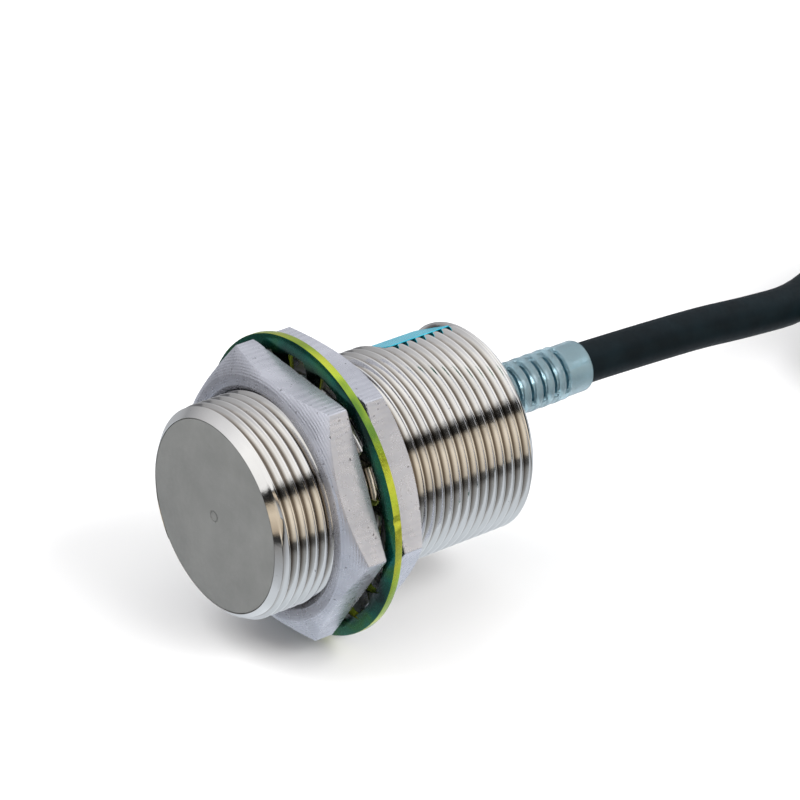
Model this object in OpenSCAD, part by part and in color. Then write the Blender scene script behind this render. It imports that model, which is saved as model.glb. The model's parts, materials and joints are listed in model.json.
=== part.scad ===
// Flush inductive proximity sensor in a threaded M30 barrel with a moulded-on cable.
// Axis along +Y, sensing face at the origin looking towards -Y, +Z up, millimetres.

/* [Barrel] */
// Outside diameter over the thread crests
thread_d = 29.95; // [29.8:0.01:30]
// Pitch of the fine metric thread
pitch = 1.5; // [1.5:0.25:2]
// Length of the barrel from the sensing face to its rear rim
barrel_length = 43; // [43:0.5:60]
// Inside diameter of the barrel
bore_d = 26.2; // [26.2:0.05:26.4]
// Length of the lead-in chamfer round the sensing face
nose_chamfer = 1.3; // [1:0.1:1.3]
// Diameter of the sensing cap's disc
face_d = 27.12; // [27:0.02:27.2]
// Direction of the label flat, turned from +X towards +Z
label_angle = 120; // [0:5:355]
// Distance from the axis to the label flat
label_flat = 14; // [14:0.1:14.6]
// Length of the label flat
label_length = 11.2; // [6:0.2:11.2]

/* [Nuts and washer] */
// Width of the nuts across their flats
nut_flats = 36; // [36:0.5:41]
// Thickness of each nut
nut_thickness = 5; // [4:0.5:6]
// Position of the front nut's outer face behind the sensing face
front_nut_y = 8.1; // [4:0.1:10]
// Room between the two nuts
nut_gap = 3; // [3:0.1:4]
// Outside diameter of the lock washer
washer_d = 42.6; // [41:0.2:43]
// Thickness of the lock washer's ring
washer_thickness = 1.2; // [1:0.1:1.5]
// Number of the lock washer's inner teeth
washer_teeth = 16; // [12:1:18]
// Twist of each tooth out of the ring's plane
tooth_twist = 35; // [15:1:40]

/* [Cable] */
// Outside diameter of the cable
cable_d = 6; // [5:0.1:6]
// Height of the cable's exit above the barrel's axis
exit_height = 3; // [0:0.1:3]
// Length of the ribbed strain relief behind the barrel
relief_length = 19.3; // [15:0.1:20]
// Radius of the folds of the stored hank's outer turns
hank_outer_turn = 24; // [24:0.5:26]
// Radius of the folds of the stored hank's inner turns
hank_inner_turn = 18; // [18:0.5:20]
// Layers of cable in the stored hank
hank_layers = 4; // [3:1:4]
// Straight length of the hank's runs
hank_run = 66; // [50:0.5:68]
// Distance behind the sensing face at which the hank's near folds begin
hank_y = 146; // [144:1:148]

/* [Electronics] */
// Diameter of the ferrite pot core
core_d = 25; // [24:0.1:25]
// Length of the ferrite pot core
core_length = 8.9; // [8:0.1:9]
// Width of the circuit board
board_width = 20; // [16:0.5:20]
// Length of the circuit board
board_length = 21; // [20:0.5:21]
// Thickness of the circuit board
board_thickness = 1; // [0.8:0.2:1.2]

/* [Hidden] */
$fn = 96;
thread_r = thread_d / 2;
bore_r = bore_d / 2;
face_r = face_d / 2;
crest = pitch / 8;
root = pitch / 6;
flank = (pitch - crest - root) / 2;
thread_depth = 0.6134 * pitch;
thread_start = nose_chamfer + 0.1;
thread_turns = floor((barrel_length - 1 - thread_start) / pitch);
rim_chamfer = 0.8;
counterbore_depth = 1.7;
counterbore_r = face_r + 0.06;
label_start = barrel_length - 0.9 - label_length;

cap_thickness = 1.2;
skirt_wall = 0.45;
skirt_r = bore_r - 0.05;
skirt_end = 10.6;

core_start = 1.5;
core_end = core_start + core_length;
core_r = core_d / 2;
core_ring = 1.5;
core_post_r = 5.5;
core_hole_r = 1.5;
core_back = 3;
winding_end = core_end - core_back;
slot_width = 3;
bobbin_wall = 0.5;
bobbin_start = core_start + 0.1;
bobbin_end = winding_end - 0.2;
bobbin_r = core_r - core_ring - 0.2;
bobbin_hub_r = core_post_r + 0.2;
winding_r = bobbin_r - 0.5;
winding_gap = 0.05;

holder_start = core_end + 0.05;
holder_end = holder_start + 2.9;
board_start = holder_start + 1.5;
board_end = board_start + board_length;
board_top = board_thickness / 2;
board_play = 0.1;
wire_r = 0.25;
wire_x = core_r - 0.75;
conductor_r = 0.65;
conductor_spread = 4;
chip_size = [1.6, 0.8, 0.5];
ic_size = [4, 10, 1.5];
ic_centre_y = board_start + 7;
ic_leg_pitch = 1.27;
ic_legs = 7;
leg_width = 0.42;
transistor_size = [4.5, 2.5, 1.5];
led_size = [2, 1.2, 0.7];
led_y = board_end - 1.2;

jacket_start = board_end + 2;
resin_start = holder_end + 0.1;
resin_end = barrel_length - 3.5;
resin_r = bore_r - 0.9;
foil_wall = 0.12;
cavity_height = 5;
wire_channel = 4;

plug_start = barrel_length - 2.2;
plug_r = bore_r - 0.05;
plug_groove_r = plug_r - 0.7;
plug_groove = [plug_start + 0.6, plug_start + 1.4];
relief_flange_r = 4.6;
relief_neck_r = 3.5;
relief_end = barrel_length + relief_length;
relief_rib_start = barrel_length + 2.7;
relief_ribs = 6;
relief_rib_pitch = 2.06;
relief_rib_width = 1.2;
relief_rib_r = 3.9;
relief_sleeve_r = 3.4;
relief_collar = 4.24;
cable_r = cable_d / 2;
cable_play = 0.02;
clamp_start = jacket_start + 1.2;
clamp_length = 2.2;
clamp_r = 4;

nut_bore_r = thread_r + 0.055;
nut_corner_r = nut_flats / 2 / cos(30);
nut_face_r = 17.2;
nut_mouth = 0.7;
nut_turn = 3;
rear_nut_y = front_nut_y + nut_thickness + nut_gap;
washer_y = front_nut_y + nut_thickness + nut_gap / 2;
washer_r = washer_d / 2;
washer_ring_r = 19.9;
tooth_turn = 7.5;
tooth_tip_r = thread_r + 0.3;
tooth_width = 2.2;
tooth_thickness = 1.1;

floor_z = -washer_r;
hank_x = 6.5;
hank_low_r = hank_inner_turn - cable_r;
hank_high_r = hank_outer_turn + cable_r;
hank_mid_r = (hank_low_r + hank_high_r) / 2;
hank_width = hank_high_r - hank_low_r;
hank_height = hank_layers * cable_d;
hank_mid_z = floor_z + hank_height / 2;
top_layer_z = floor_z + hank_height - cable_r;
end_x = hank_x - hank_inner_turn;
end_y = hank_y + 38;
notch_start = hank_y + 29;
notch_play = 0.1;
tie_y = hank_y + 24;
tie_width = 5;
tie_wall = 0.6;
tie_play = 0.2;
tie_corner_r = 1.2;
lead_r = 0.95;
lead_z = top_layer_z - cable_r + lead_r + 0.05;
ferrule_r = 0.6;
ferrule_length = 6;
collar_r = 0.93;
collar_start = 0.06;
collar_end = 2;

// The cable's way from the strain relief to the top layer of the hank
cable_route = [
    [0, 62.4, 3], [0, 66, 2.9], [0, 76, 2.4], [0, 85, 1.8], [0, 95, 0.7],
    [-1, 104, -0.4], [-4.4, 113, -0.8], [-8.5, 121, -0.6], [-12.2, 128, -0.35], [-14, 132, -0.3]
];
// The cable's free end, on top of the hank
tail_route = [
    [end_x, notch_start - 2, top_layer_z], [end_x, end_y - 6, top_layer_z],
    [end_x, end_y - 3, top_layer_z], [end_x, end_y, top_layer_z]
];
// Each flying lead's way along the hank, from the cut jacket
brown_route = [
    [end_x - 1.3, end_y + 0.2, top_layer_z + 0.9], [end_x - 1.4, end_y + 2.5, top_layer_z + 0.4],
    [end_x - 2, end_y + 6, lead_z + 0.3], [end_x - 2.1, end_y + 9.5, lead_z]
];
blue_route = [
    [end_x, end_y + 0.2, top_layer_z - 1.4], [end_x, end_y + 2.5, top_layer_z - 1.5],
    [end_x, end_y + 7, top_layer_z - 1.8], [end_x + 0.1, end_y + 11, lead_z]
];
black_route = [
    [end_x + 1.3, end_y + 0.2, top_layer_z + 0.9], [end_x + 1.4, end_y + 2.5, top_layer_z + 0.4],
    [end_x + 2, end_y + 5.5, lead_z + 0.3], [end_x + 2.2, end_y + 8.5, lead_z]
];
// The way each lead's tip points, turned from +Y
brown_heading = 1;
blue_heading = 1;
black_heading = -2;

// Round bar along +Y between two stations
module rod(from, to, r) {
    translate([0, from, 0])
        rotate([-90, 0, 0])
            cylinder(h = to - from, r = r);
}

// Round tube along +Y between two stations
module tube(from, to, outer_r, inner_r) {
    difference() {
        rod(from, to, outer_r);
        rod(from - 1, to + 1, inner_r);
    }
}

// Turned solid about the Y axis, from its half section of [radius, station] points
module turned(section) {
    rotate([-90, 0, 0])
        rotate_extrude()
            polygon(section);
}

// Rectangle with rounded corners, centred on the origin
module rounded_rectangle(width, height, r) {
    square([width - 2 * r, height], center = true);
    square([width, height - 2 * r], center = true);
    for (x = [-1, 1])
        for (y = [-1, 1])
            translate([x * (width / 2 - r), y * (height / 2 - r)])
                circle(r = r);
}

function kept(points, i) = points[max(0, min(len(points) - 1, i))];

// Point on the smooth curve through the given points, t counted in points from the first
function curve_at(points, t) =
    let (i = min(floor(t), len(points) - 2))
    let (u = t - i)
    let (a = kept(points, i - 1))
    let (b = kept(points, i))
    let (c = kept(points, i + 1))
    let (d = kept(points, i + 2))
    0.5 * (2 * b + (c - a) * u + (2 * a - 5 * b + 4 * c - d) * u * u
        + (3 * b - a - 3 * c + d) * u * u * u);

// Round wire or cable along a smooth curve through the given points
module swept(points, r, rings, sides) {
    centres = [for (k = [0:rings - 1]) curve_at(points, k * (len(points) - 1) / (rings - 1))];
    skin = [
        for (k = [0:rings - 1])
            let (along = kept(centres, k + 1) - kept(centres, k - 1))
            let (side = cross(along, [0, 0, 1]) / norm(cross(along, [0, 0, 1])))
            let (lift = cross(side, along) / norm(along))
            for (s = [0:sides - 1])
                centres[k] + r * (cos(360 * s / sides) * side + sin(360 * s / sides) * lift)
    ];
    walls = [
        for (k = [0:rings - 2])
            for (s = [0:sides - 1])
                let (n = (s + 1) % sides)
                [k * sides + s, k * sides + n, (k + 1) * sides + n, (k + 1) * sides + s]
    ];
    near_end = [for (s = [sides - 1:-1:0]) s];
    far_end = [for (s = [0:sides - 1]) (rings - 1) * sides + s];
    polyhedron(points = skin, faces = concat([near_end], walls, [far_end]), convexity = 6);
}

// One groove of the thread, as section points that start at the given station
function groove(y) = [
    [thread_r, y],
    [thread_r - thread_depth, y + flank],
    [thread_r - thread_depth, y + flank + root],
    [thread_r, y + 2 * flank + root]
];

module barrel() {
    thread = [for (i = [0:thread_turns - 1]) for (p = groove(thread_start + i * pitch)) p];
    ends = [
        [thread_r, barrel_length - rim_chamfer],
        [thread_r - rim_chamfer, barrel_length],
        [bore_r, barrel_length],
        [bore_r, counterbore_depth],
        [counterbore_r, counterbore_depth],
        [counterbore_r, 0],
        [thread_r - nose_chamfer, 0],
        [thread_r, nose_chamfer]
    ];
    color("silver")
        difference() {
            turned(concat(thread, ends));
            rotate([0, -label_angle, 0])
                translate([label_flat, label_start, -bore_r])
                    cube([thread_r, label_length, 2 * bore_r]);
        }
}

module name_label() {
    label_side = label_length - 0.8;
    color("deepskyblue")
        rotate([0, -label_angle, 0])
            translate([label_flat, label_start + 0.4, -label_side / 2])
                cube([0.12, label_side, label_side]);
}

module sensing_cap() {
    edge = 0.15;
    color("dimgray")
        turned([
            [0, 0], [face_r - edge, 0], [face_r, edge], [face_r, cap_thickness],
            [skirt_r, cap_thickness], [skirt_r, skirt_end], [skirt_r - skirt_wall, skirt_end],
            [skirt_r - skirt_wall, cap_thickness], [0, cap_thickness]
        ]);
}

module cap_seal() {
    color("black")
        tube(cap_thickness, counterbore_depth, face_r, bore_r + 0.05);
}

module ferrite_core() {
    color("darkslategray")
        difference() {
            turned([
                [core_hole_r, core_start], [core_post_r, core_start], [core_post_r, winding_end],
                [core_r - core_ring, winding_end], [core_r - core_ring, core_start],
                [core_r, core_start], [core_r, core_end], [core_hole_r, core_end]
            ]);
            for (side = [0, 180])
                rotate([0, side, 0])
                    translate([core_r - core_ring - 0.1, core_start - 1, -slot_width / 2])
                        cube([core_ring + 1, core_length + 2, slot_width]);
        }
}

module coil_bobbin() {
    color("ivory")
        turned([
            [bobbin_hub_r, bobbin_start], [bobbin_r, bobbin_start],
            [bobbin_r, bobbin_start + bobbin_wall], [bobbin_hub_r + bobbin_wall, bobbin_start + bobbin_wall],
            [bobbin_hub_r + bobbin_wall, bobbin_end - bobbin_wall], [bobbin_r, bobbin_end - bobbin_wall],
            [bobbin_r, bobbin_end], [bobbin_hub_r, bobbin_end]
        ]);
}

module sensing_coil() {
    color("peru")
        tube(
            bobbin_start + bobbin_wall + winding_gap,
            bobbin_end - bobbin_wall - winding_gap,
            winding_r,
            bobbin_hub_r + bobbin_wall + winding_gap
        );
}

module coil_wires() {
    color("peru")
        for (side = [0, 180])
            rotate([0, side, 0])
                swept([
                    [winding_r + wire_r, 4, 0], [wire_x, 5.5, 0], [wire_x, 10, 0],
                    [wire_x, holder_end, 0], [board_width / 2 + wire_r + 0.1, holder_end + 3, 0]
                ], wire_r, 20, 8);
}

module core_holder() {
    color("black")
        difference() {
            rod(holder_start, holder_end, core_r);
            translate([-board_width / 2 - board_play, board_start - 0.1, -board_top - board_play])
                cube([board_width + 2 * board_play, holder_end, board_thickness + 2 * board_play]);
            for (side = [0, 180])
                rotate([0, side, 0])
                    translate([wire_x - 2 * wire_r, holder_start - 1, -2 * wire_r])
                        cube([core_r, holder_end, 4 * wire_r]);
        }
}

module circuit_board() {
    color("darkgreen")
        translate([-board_width / 2, board_start, -board_top])
            cube([board_width, board_length, board_thickness]);
}

module ic_leg() {
    translate([0, -leg_width / 2, 0])
        rotate([90, 0, 0])
            mirror([0, 0, 1])
                linear_extrude(leg_width)
                    polygon([
                        [-0.1, 0.65], [0.45, 0.65], [0.75, 0.15], [1.3, 0.15],
                        [1.3, 0], [0.65, 0], [0.35, 0.5], [-0.1, 0.5]
                    ]);
}

module control_ic() {
    color("black")
        translate([0, ic_centre_y, board_top]) {
            translate([-ic_size[0] / 2, -ic_size[1] / 2, 0.1])
                cube([ic_size[0], ic_size[1], ic_size[2]]);
            for (side = [0, 180])
                for (i = [0:ic_legs - 1])
                    rotate([0, 0, side])
                        translate([ic_size[0] / 2, (i - (ic_legs - 1) / 2) * ic_leg_pitch, 0])
                            ic_leg();
        }
}

module output_transistor() {
    color("black")
        translate([5, board_start + 15, board_top]) {
            cube([transistor_size[0], transistor_size[1], transistor_size[2]]);
            translate([0.5, -0.8, 0])
                cube([0.5, 1, 0.3]);
            translate([2, -0.8, 0])
                cube([0.5, 1, 0.3]);
            translate([3.5, -0.8, 0])
                cube([0.5, 1, 0.3]);
        }
}

// Chip resistors and capacitors in two columns on top of the board and one underneath
module chip_parts() {
    color("tan") {
        for (x = [-8.5, 6.5])
            for (i = [0:4])
                translate([x, board_start + 2.5 + 2 * i, board_top])
                    cube(chip_size);
        for (i = [0:5])
            translate([-6 + 2.4 * i, board_start + 8, -board_top - chip_size[2]])
                cube([chip_size[1], chip_size[0], chip_size[2]]);
    }
}

module indicator_led() {
    color("orange")
        translate([0, led_y, -board_top - led_size[2]]) {
            translate([-led_size[0] / 2, -led_size[1] / 2, 0])
                cube(led_size);
            rotate([180, 0, 0])
                translate([0, 0, -0.1])
                    cylinder(h = 0.5, r1 = 0.55, r2 = 0.4, $fn = 32);
        }
}

// Insulated conductor from the cable's inner end to its solder pad on the board
module conductor(x_start, z_start, x_pad) {
    pad_z = board_top + conductor_r + 0.1;
    swept([
        [x_start, jacket_start - 0.15, z_start], [x_start, jacket_start - 1.2, z_start],
        [x_pad, board_end - 1, pad_z + 0.25], [x_pad, board_end - 3, pad_z]
    ], conductor_r, 16, 8);
}

module brown_conductor() {
    color("saddlebrown")
        conductor(-1.2, exit_height + 0.7, -conductor_spread);
}

module blue_conductor() {
    color("royalblue")
        conductor(1.2, exit_height + 0.7, conductor_spread);
}

module black_conductor() {
    color("black")
        conductor(0, exit_height - 1.4, 0);
}

module shield_foil() {
    color("goldenrod")
        tube(resin_start, resin_end, resin_r + foil_wall + 0.05, resin_r + 0.05);
}

module potting_resin() {
    color("darkkhaki")
        difference() {
            rod(resin_start, resin_end, resin_r);
            translate([-board_width / 2 - 0.4, resin_start - 1, -cavity_height / 2])
                cube([board_width + 0.8, jacket_start - resin_start + 1, cavity_height]);
            translate([-core_r, resin_start - 1, -2 * wire_r])
                cube([2 * core_r, wire_channel + 1, 4 * wire_r]);
            translate([-cavity_height, board_end - 4, 0])
                cube([2 * cavity_height, jacket_start - board_end + 4, 2 * cavity_height - 4]);
            translate([0, 0, exit_height]) {
                rod(jacket_start - 1, resin_end + 1, cable_r + 2 * cable_play);
                rod(clamp_start - 0.1, clamp_start + clamp_length + 0.1, clamp_r + 0.1);
            }
        }
}

module rear_plug() {
    color("lightcyan")
        difference() {
            turned([
                [0, plug_start], [plug_r, plug_start], [plug_r, plug_groove[0]],
                [plug_groove_r, plug_groove[0]], [plug_groove_r, plug_groove[1]],
                [plug_r, plug_groove[1]], [plug_r, barrel_length - 0.2],
                [plug_r - 0.2, barrel_length], [0, barrel_length]
            ]);
            translate([0, 0, exit_height])
                rod(plug_start - 1, barrel_length + 1, relief_neck_r + cable_play);
        }
}

module plug_seal() {
    color("black")
        tube(plug_groove[0] + 0.05, plug_groove[1] - 0.05, bore_r - 0.01, plug_groove_r + 0.02);
}

// Moulded sleeve with a flange behind the plug, ring ribs and a plain collar at its end
module strain_relief() {
    inner_r = cable_r + cable_play;
    ribs = [
        for (i = [0:relief_ribs - 1])
            let (y = relief_rib_start + i * relief_rib_pitch)
            for (p = [
                [relief_sleeve_r, y], [relief_rib_r - 0.04 * i, y],
                [relief_rib_r - 0.04 * i, y + relief_rib_width], [relief_sleeve_r, y + relief_rib_width]
            ]) p
    ];
    color("azure")
        translate([0, 0, exit_height])
            turned(concat(
                [
                    [inner_r, plug_start - 1.2], [relief_flange_r, plug_start - 1.2],
                    [relief_flange_r, plug_start], [relief_neck_r, plug_start],
                    [relief_neck_r, relief_rib_start - 0.3]
                ],
                ribs,
                [
                    [relief_sleeve_r, relief_end - relief_collar],
                    [relief_neck_r + 0.2, relief_end - relief_collar],
                    [relief_neck_r + 0.2, relief_end - 0.3], [relief_neck_r, relief_end],
                    [inner_r, relief_end]
                ]
            ));
}

module cable_entry() {
    color("black")
        translate([0, 0, exit_height])
            rod(jacket_start, relief_end, cable_r);
}

module cable_clamp() {
    color("goldenrod")
        translate([0, 0, exit_height])
            tube(clamp_start, clamp_start + clamp_length, clamp_r, cable_r + cable_play);
}

// Hexagon nut with its bevelled face towards -Y at the given station
module nut() {
    difference() {
        intersection() {
            rotate([-90, nut_turn, 0])
                cylinder(h = nut_thickness, r = nut_corner_r, $fn = 6);
            turned([
                [0, 0], [nut_face_r, 0], [nut_corner_r + 1, (nut_corner_r + 1 - nut_face_r) * tan(30)],
                [nut_corner_r + 1, nut_thickness], [0, nut_thickness]
            ]);
        }
        turned([
            [0, -1], [nut_bore_r + nut_mouth + 1, -1], [nut_bore_r, nut_mouth],
            [nut_bore_r, nut_thickness - nut_mouth],
            [nut_bore_r + nut_mouth + 1, nut_thickness + 1], [0, nut_thickness + 1]
        ]);
    }
}

module front_nut() {
    color("gainsboro")
        translate([0, front_nut_y, 0])
            nut();
}

module rear_nut() {
    color("gainsboro")
        translate([0, rear_nut_y + nut_thickness, 0])
            mirror([0, 1, 0])
                nut();
}

module lock_washer() {
    color("yellowgreen")
        translate([0, washer_y, 0]) {
            tube(-washer_thickness / 2, washer_thickness / 2, washer_r, washer_ring_r);
            for (i = [0:washer_teeth - 1])
                rotate([0, tooth_turn + i * 360 / washer_teeth, 0])
                    rotate([tooth_twist, 0, 0])
                        translate([tooth_tip_r, -tooth_thickness / 2, -tooth_width / 2])
                            cube([washer_ring_r + 0.6 - tooth_tip_r, tooth_thickness, tooth_width]);
        }
}

module cable() {
    color("black")
        swept(cable_route, cable_r, 19, 12);
}

module hank_section() {
    rounded_rectangle(hank_width, hank_height, cable_r);
}

// Oblong ring with a channel for the ties underneath and room for the cable's end on top
module cable_hank() {
    reach = 3 * hank_high_r;
    color("black")
        translate([hank_x, hank_y, hank_mid_z])
            difference() {
                union() {
                    for (end = [0, 1])
                        translate([0, end * hank_run, 0])
                            rotate([0, 0, end * 180])
                                difference() {
                                    rotate_extrude()
                                        translate([hank_mid_r, 0])
                                            hank_section();
                                    translate([-reach, 0, -reach])
                                        cube(2 * reach);
                                }
                    for (side = [-1, 1])
                        translate([side * hank_mid_r, hank_run, 0])
                            rotate([90, 0, 0])
                                linear_extrude(hank_run)
                                    hank_section();
                }
                translate([-reach, tie_y - hank_y - tie_width / 2 - tie_play, -hank_height / 2 - 1])
                    cube([2 * reach, tie_width + 2 * tie_play, 1 + tie_wall + 0.05]);
                translate([
                    -hank_low_r - cable_d - notch_play, notch_start - hank_y,
                    hank_height / 2 - cable_d - notch_play / 2
                ])
                    cube([cable_d + 1 + notch_play, hank_run - 31, cable_d + 1]);
            }
}

// Flat bands round the hank's two sides
module hank_ties() {
    color("black")
        for (side = [-1, 1])
            translate([
                hank_x + side * hank_mid_r, tie_y + tie_width / 2, hank_mid_z + tie_wall / 2
            ])
                rotate([90, 0, 0])
                    linear_extrude(tie_width)
                        difference() {
                            rounded_rectangle(
                                hank_width + 2 * tie_wall + 2 * tie_play,
                                hank_height + tie_wall,
                                tie_corner_r + tie_wall
                            );
                            rounded_rectangle(
                                hank_width + 2 * tie_play,
                                hank_height - tie_wall + 0.02,
                                tie_corner_r
                            );
                        }
}

module cable_tail() {
    color("black")
        swept(tail_route, cable_r, 5, 12);
}

module brown_lead() {
    color("saddlebrown")
        swept(brown_route, lead_r, 12, 8);
}

module blue_lead() {
    color("royalblue")
        swept(blue_route, lead_r, 12, 8);
}

module black_lead() {
    color("black")
        swept(black_route, lead_r, 12, 8);
}

// Crimped collar and tinned tip on the end of one lead
module ferrule(route, heading) {
    translate(route[len(route) - 1])
        rotate([0, 0, heading]) {
            rod(collar_start, collar_end, collar_r);
            rod(collar_end, collar_end + ferrule_length, ferrule_r);
        }
}

module lead_ferrules() {
    color("lightgray") {
        ferrule(brown_route, brown_heading);
        ferrule(blue_route, blue_heading);
        ferrule(black_route, black_heading);
    }
}

barrel();
name_label();
sensing_cap();
cap_seal();
ferrite_core();
coil_bobbin();
sensing_coil();
coil_wires();
core_holder();
circuit_board();
control_ic();
output_transistor();
chip_parts();
indicator_led();
brown_conductor();
blue_conductor();
black_conductor();
shield_foil();
potting_resin();
rear_plug();
plug_seal();
strain_relief();
cable_entry();
cable_clamp();
front_nut();
lock_washer();
rear_nut();
cable();
cable_hank();
hank_ties();
cable_tail();
brown_lead();
blue_lead();
black_lead();
lead_ferrules();
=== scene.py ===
"""Looks of the proximity sensor: threaded barrel, nuts, lock washer, strain relief and tied cable.

Row frame: the barrel's axis is +Y, the sensing face is at the origin, +Z is up. Lengths are in
millimetres until a mesh is made, where MM turns them into metres.
"""

import json
import math

import bmesh
import bpy
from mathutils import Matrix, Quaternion, Vector, noise


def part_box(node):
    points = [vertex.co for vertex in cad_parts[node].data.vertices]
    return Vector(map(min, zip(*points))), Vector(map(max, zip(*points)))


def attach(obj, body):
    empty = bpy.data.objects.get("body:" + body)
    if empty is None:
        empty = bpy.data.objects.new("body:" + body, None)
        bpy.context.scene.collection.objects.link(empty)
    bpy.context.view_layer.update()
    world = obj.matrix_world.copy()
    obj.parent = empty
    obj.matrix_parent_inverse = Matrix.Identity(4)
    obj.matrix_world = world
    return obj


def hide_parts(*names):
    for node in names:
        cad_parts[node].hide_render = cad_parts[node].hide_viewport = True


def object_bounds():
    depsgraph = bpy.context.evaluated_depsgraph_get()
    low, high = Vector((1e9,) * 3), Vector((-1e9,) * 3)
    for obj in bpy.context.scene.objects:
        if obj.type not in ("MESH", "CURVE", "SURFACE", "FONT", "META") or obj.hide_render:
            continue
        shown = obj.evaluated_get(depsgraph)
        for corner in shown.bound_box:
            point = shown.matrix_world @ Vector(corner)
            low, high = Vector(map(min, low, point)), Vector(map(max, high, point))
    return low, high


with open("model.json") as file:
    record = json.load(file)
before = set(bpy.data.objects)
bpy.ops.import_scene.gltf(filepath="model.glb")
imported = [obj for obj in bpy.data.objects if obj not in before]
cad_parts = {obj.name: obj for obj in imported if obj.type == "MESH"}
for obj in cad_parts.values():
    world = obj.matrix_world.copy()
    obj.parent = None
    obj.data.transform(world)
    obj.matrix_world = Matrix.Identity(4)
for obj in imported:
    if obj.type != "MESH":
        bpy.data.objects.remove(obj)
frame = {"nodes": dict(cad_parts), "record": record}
cad_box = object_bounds()
MM = 0.001
TURN = 2 * math.pi

# ---------------------------------------------------------------- camera

CAMERA_PLACE = (0.4090, -0.2934, 0.3075)
CAMERA_FORWARD = (-0.6795, 0.5387, -0.4981)
CAMERA_ROLL = 1.82
CAMERA_LENS = 199.9

camera = bpy.data.objects.new("camera", bpy.data.cameras.new("camera"))
camera.data.lens = CAMERA_LENS
camera.data.sensor_width = 36
camera.data.clip_start = 0.01
camera.data.clip_end = 100
camera.location = CAMERA_PLACE
camera.rotation_mode = "QUATERNION"
camera.rotation_quaternion = Vector(CAMERA_FORWARD).to_track_quat("-Z", "Y") @ Quaternion(
    (0, 0, 1), math.radians(CAMERA_ROLL)
)
bpy.context.scene.collection.objects.link(camera)
bpy.context.scene.camera = camera


# ---------------------------------------------------------------- materials

class Nodes:
    """A node tree, with short ways to add and join its nodes."""

    def __init__(self, tree):
        self.tree = tree
        self.tree.nodes.clear()

    def node(self, kind, **settings):
        made = self.tree.nodes.new(kind)
        for key, value in settings.items():
            if key in made.inputs:
                made.inputs[key].default_value = value
            else:
                setattr(made, key, value)
        return made

    def link(self, a, out, b, into):
        self.tree.links.new(a.outputs[out], b.inputs[into])

    def ramp(self, source, out, stops):
        """Colours along a value, from (value, colour) pairs."""
        made = self.node("ShaderNodeValToRGB")
        points = made.color_ramp.elements
        while len(points) < len(stops):
            points.new(0.5)
        for point, (place, colour) in zip(points, stops):
            point.position = place
            point.color = (*colour, 1)
        self.link(source, out, made, "Fac")
        return made

    def levels(self, source, out, low, high, start, end, **settings):
        """A value from low to high while the source goes from start to end."""
        made = self.node("ShaderNodeMapRange", **settings)
        for key, value in (("From Min", start), ("From Max", end), ("To Min", low), ("To Max", high)):
            made.inputs[key].default_value = value
        self.link(source, out, made, "Value")
        return made

    def mix(self, a, b, factor=0.5, mode="MIX", by=None):
        """Colour mix of two (node, output) pairs or colours, by a number or a (node, output) pair."""
        made = self.node("ShaderNodeMix", data_type="RGBA", blend_type=mode)
        sockets = [s for s in made.inputs if s.type == "RGBA"]
        for socket, value in zip(sockets, (a, b)):
            if isinstance(value[0], bpy.types.Node):
                self.tree.links.new(socket_of(*value), socket)
            else:
                socket.default_value = (*value, 1)
        if by:
            self.tree.links.new(by[0].outputs[by[1]], made.inputs[0])
        else:
            made.inputs[0].default_value = factor
        return made, [s for s in made.outputs if s.type == "RGBA"][0].identifier


def socket_of(node, out):
    return next(s for s in node.outputs if out in (s.name, s.identifier))


class Look(Nodes):
    """A procedural node material: one shader, with noise in the object's own frame."""

    def __init__(self, name, **constants):
        self.material = bpy.data.materials.new(name)
        self.material.use_nodes = True
        super().__init__(self.material.node_tree)
        self.shader = self.node("ShaderNodeBsdfPrincipled")
        output = self.node("ShaderNodeOutputMaterial")
        self.link(self.shader, "BSDF", output, "Surface")
        self.place = self.node("ShaderNodeTexCoord")
        self.bumps = None
        for socket, value in constants.items():
            self.shader.inputs[socket.replace("_", " ")].default_value = value

    def mapped(self, stretch=(1, 1, 1)):
        scaled = self.node("ShaderNodeMapping")
        scaled.inputs["Scale"].default_value = stretch
        self.link(self.place, "Object", scaled, "Vector")
        return scaled

    def speckle(self, size, stretch=(1, 1, 1), detail=4.0, roughness=0.5):
        """Noise whose blobs are about size millimetres across."""
        made = self.node("ShaderNodeTexNoise", Scale=1000 / size, Detail=detail, Roughness=roughness)
        self.link(self.mapped(stretch), "Vector", made, "Vector")
        return made

    def from_axis(self, start, end):
        """A value from 0 to 1 between two distances in millimetres from the barrel's axis."""
        across = self.node("ShaderNodeVectorMath", operation="LENGTH")
        self.link(self.mapped((1, 0, 1)), "Vector", across, 0)
        return self.levels(across, "Value", 0.0, 1.0, start * MM, end * MM)

    def colour(self, node, out):
        self.tree.links.new(socket_of(node, out), self.shader.inputs["Base Color"])

    def rough(self, noise_node, low, high):
        made = self.levels(noise_node, "Fac", low, high, 0.3, 0.7)
        self.link(made, "Result", self.shader, "Roughness")

    def bump(self, texture, height):
        """Bumps of height millimetres, on top of those that are there."""
        made = self.node("ShaderNodeBump", Strength=1.0, Distance=height * MM)
        self.link(texture, "Fac", made, "Height")
        if self.bumps:
            self.link(self.bumps, "Normal", made, "Normal")
        self.bumps = made
        for link in list(self.shader.inputs["Normal"].links):
            self.tree.links.remove(link)
        self.link(made, "Normal", self.shader, "Normal")


def simple(name, dark, light, size, rough=(0.35, 0.5), bump=0.01, **constants):
    """A look with two close colours in soft blotches, uneven gloss and a fine grain."""
    look = Look(name, **constants)
    blotches = look.speckle(size)
    look.colour(look.ramp(blotches, "Fac", [(0.35, dark), (0.65, light)]), "Color")
    grain = look.speckle(size / 6)
    look.rough(grain, *rough)
    look.bump(grain, bump)
    return look.material


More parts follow.
